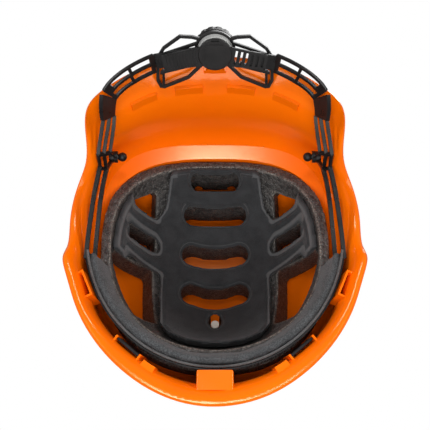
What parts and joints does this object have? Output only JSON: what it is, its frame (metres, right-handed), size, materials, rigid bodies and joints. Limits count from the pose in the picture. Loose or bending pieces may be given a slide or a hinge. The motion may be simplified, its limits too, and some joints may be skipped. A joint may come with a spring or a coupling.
{
  "type": "arborist helmet",
  "caption": "Climbing helmet: glossy orange shell, dark foam liner with a crown pad and forehead pad, and a black headband with a tilting nape cradle and a knob-driven size adjuster.",
  "frame": {"origin": "centre of the head opening, level with the front rim", "axes": "+Z to the crown, -Y to the front (peak), +X to the right when looking along +Y, so nodes named right are at +X; symmetric about X = 0 apart from the two size straps"},
  "size_m": [0.2252, 0.2823, 0.2037],
  "materials": {
    "shell_plastic": "glossy orange moulded plastic",
    "liner_foam": "dark expanded polystyrene with a visible bead texture",
    "crown_fabric": "charcoal brushed fabric over thin foam, with an embossed border",
    "plug_plastic": "light grey push-in plug",
    "forehead_fabric": "dark grey knitted fabric over foam",
    "band_plastic": "black flexible moulded plastic",
    "pin_plastic": "black moulded stud",
    "arm_plastic": "black flexible moulded plastic",
    "strap_plastic": "black flexible moulded plastic",
    "cradle_plastic": "black flexible moulded plastic",
    "housing_plastic": "light grey moulded plastic",
    "cover_plastic": "black moulded plastic",
    "rack_plastic": "black flexible moulded plastic",
    "pinion_plastic": "natural acetal",
    "detent_plastic": "natural acetal",
    "knob_plastic": "black moulded plastic with a scalloped edge",
    "screw_steel": "zinc-plated steel",
    "clip_plastic": "black moulded plastic"
  },
  "bodies": {
    "helmet": {"outer_shell": "shell_plastic", "eps_liner": "liner_foam", "crown_pad": "crown_fabric", "crown_pad_plug": "plug_plastic", "forehead_pad": "forehead_fabric", "headband_front": "band_plastic", "pivot_pin_left": "pin_plastic", "pivot_pin_right": "pin_plastic", "headlamp_clip_left": "clip_plastic", "headlamp_clip_right": "clip_plastic"},
    "cradle": {"side_arm_left": "arm_plastic", "side_arm_right": "arm_plastic", "nape_strap_left": "strap_plastic", "nape_strap_right": "strap_plastic", "nape_cradle": "cradle_plastic", "ratchet_housing": "housing_plastic", "ratchet_cover": "cover_plastic", "detent_ring": "detent_plastic"},
    "knob": {"adjuster_knob": "knob_plastic", "knob_screw": "screw_steel", "drive_pinion": "pinion_plastic"},
    "rack_left": {"rack_left": "rack_plastic"},
    "rack_right": {"rack_right": "rack_plastic"}
  },
  "joints": [
    {"name": "cradle_tilt", "type": "hinge", "parent": "helmet", "child": "cradle", "pos_m": [0, 0.0586, 0.018], "axis": [1, 0, 0], "range_deg": [-14, 0]},
    {"name": "knob_turn", "type": "hinge", "parent": "cradle", "child": "knob", "pos_m": [0, 0.109, -0.0506], "axis": [0, 0.829, 0.5592], "range_deg": [0, 330]},
    {"name": "rack_left_slide", "type": "slide", "parent": "cradle", "child": "rack_left", "axis": [0.9848, 0.0971, -0.144], "range_m": [0, 0.0217]},
    {"name": "rack_right_slide", "type": "slide", "parent": "cradle", "child": "rack_right", "axis": [-0.9848, 0.0971, -0.144], "range_m": [0, 0.0217]}
  ],
  "couplings": [
    {"joint": "rack_left_slide", "follows": "knob_turn", "m_per_rad": 0.00375},
    {"joint": "rack_right_slide", "follows": "knob_turn", "m_per_rad": 0.00375}
  ]
}
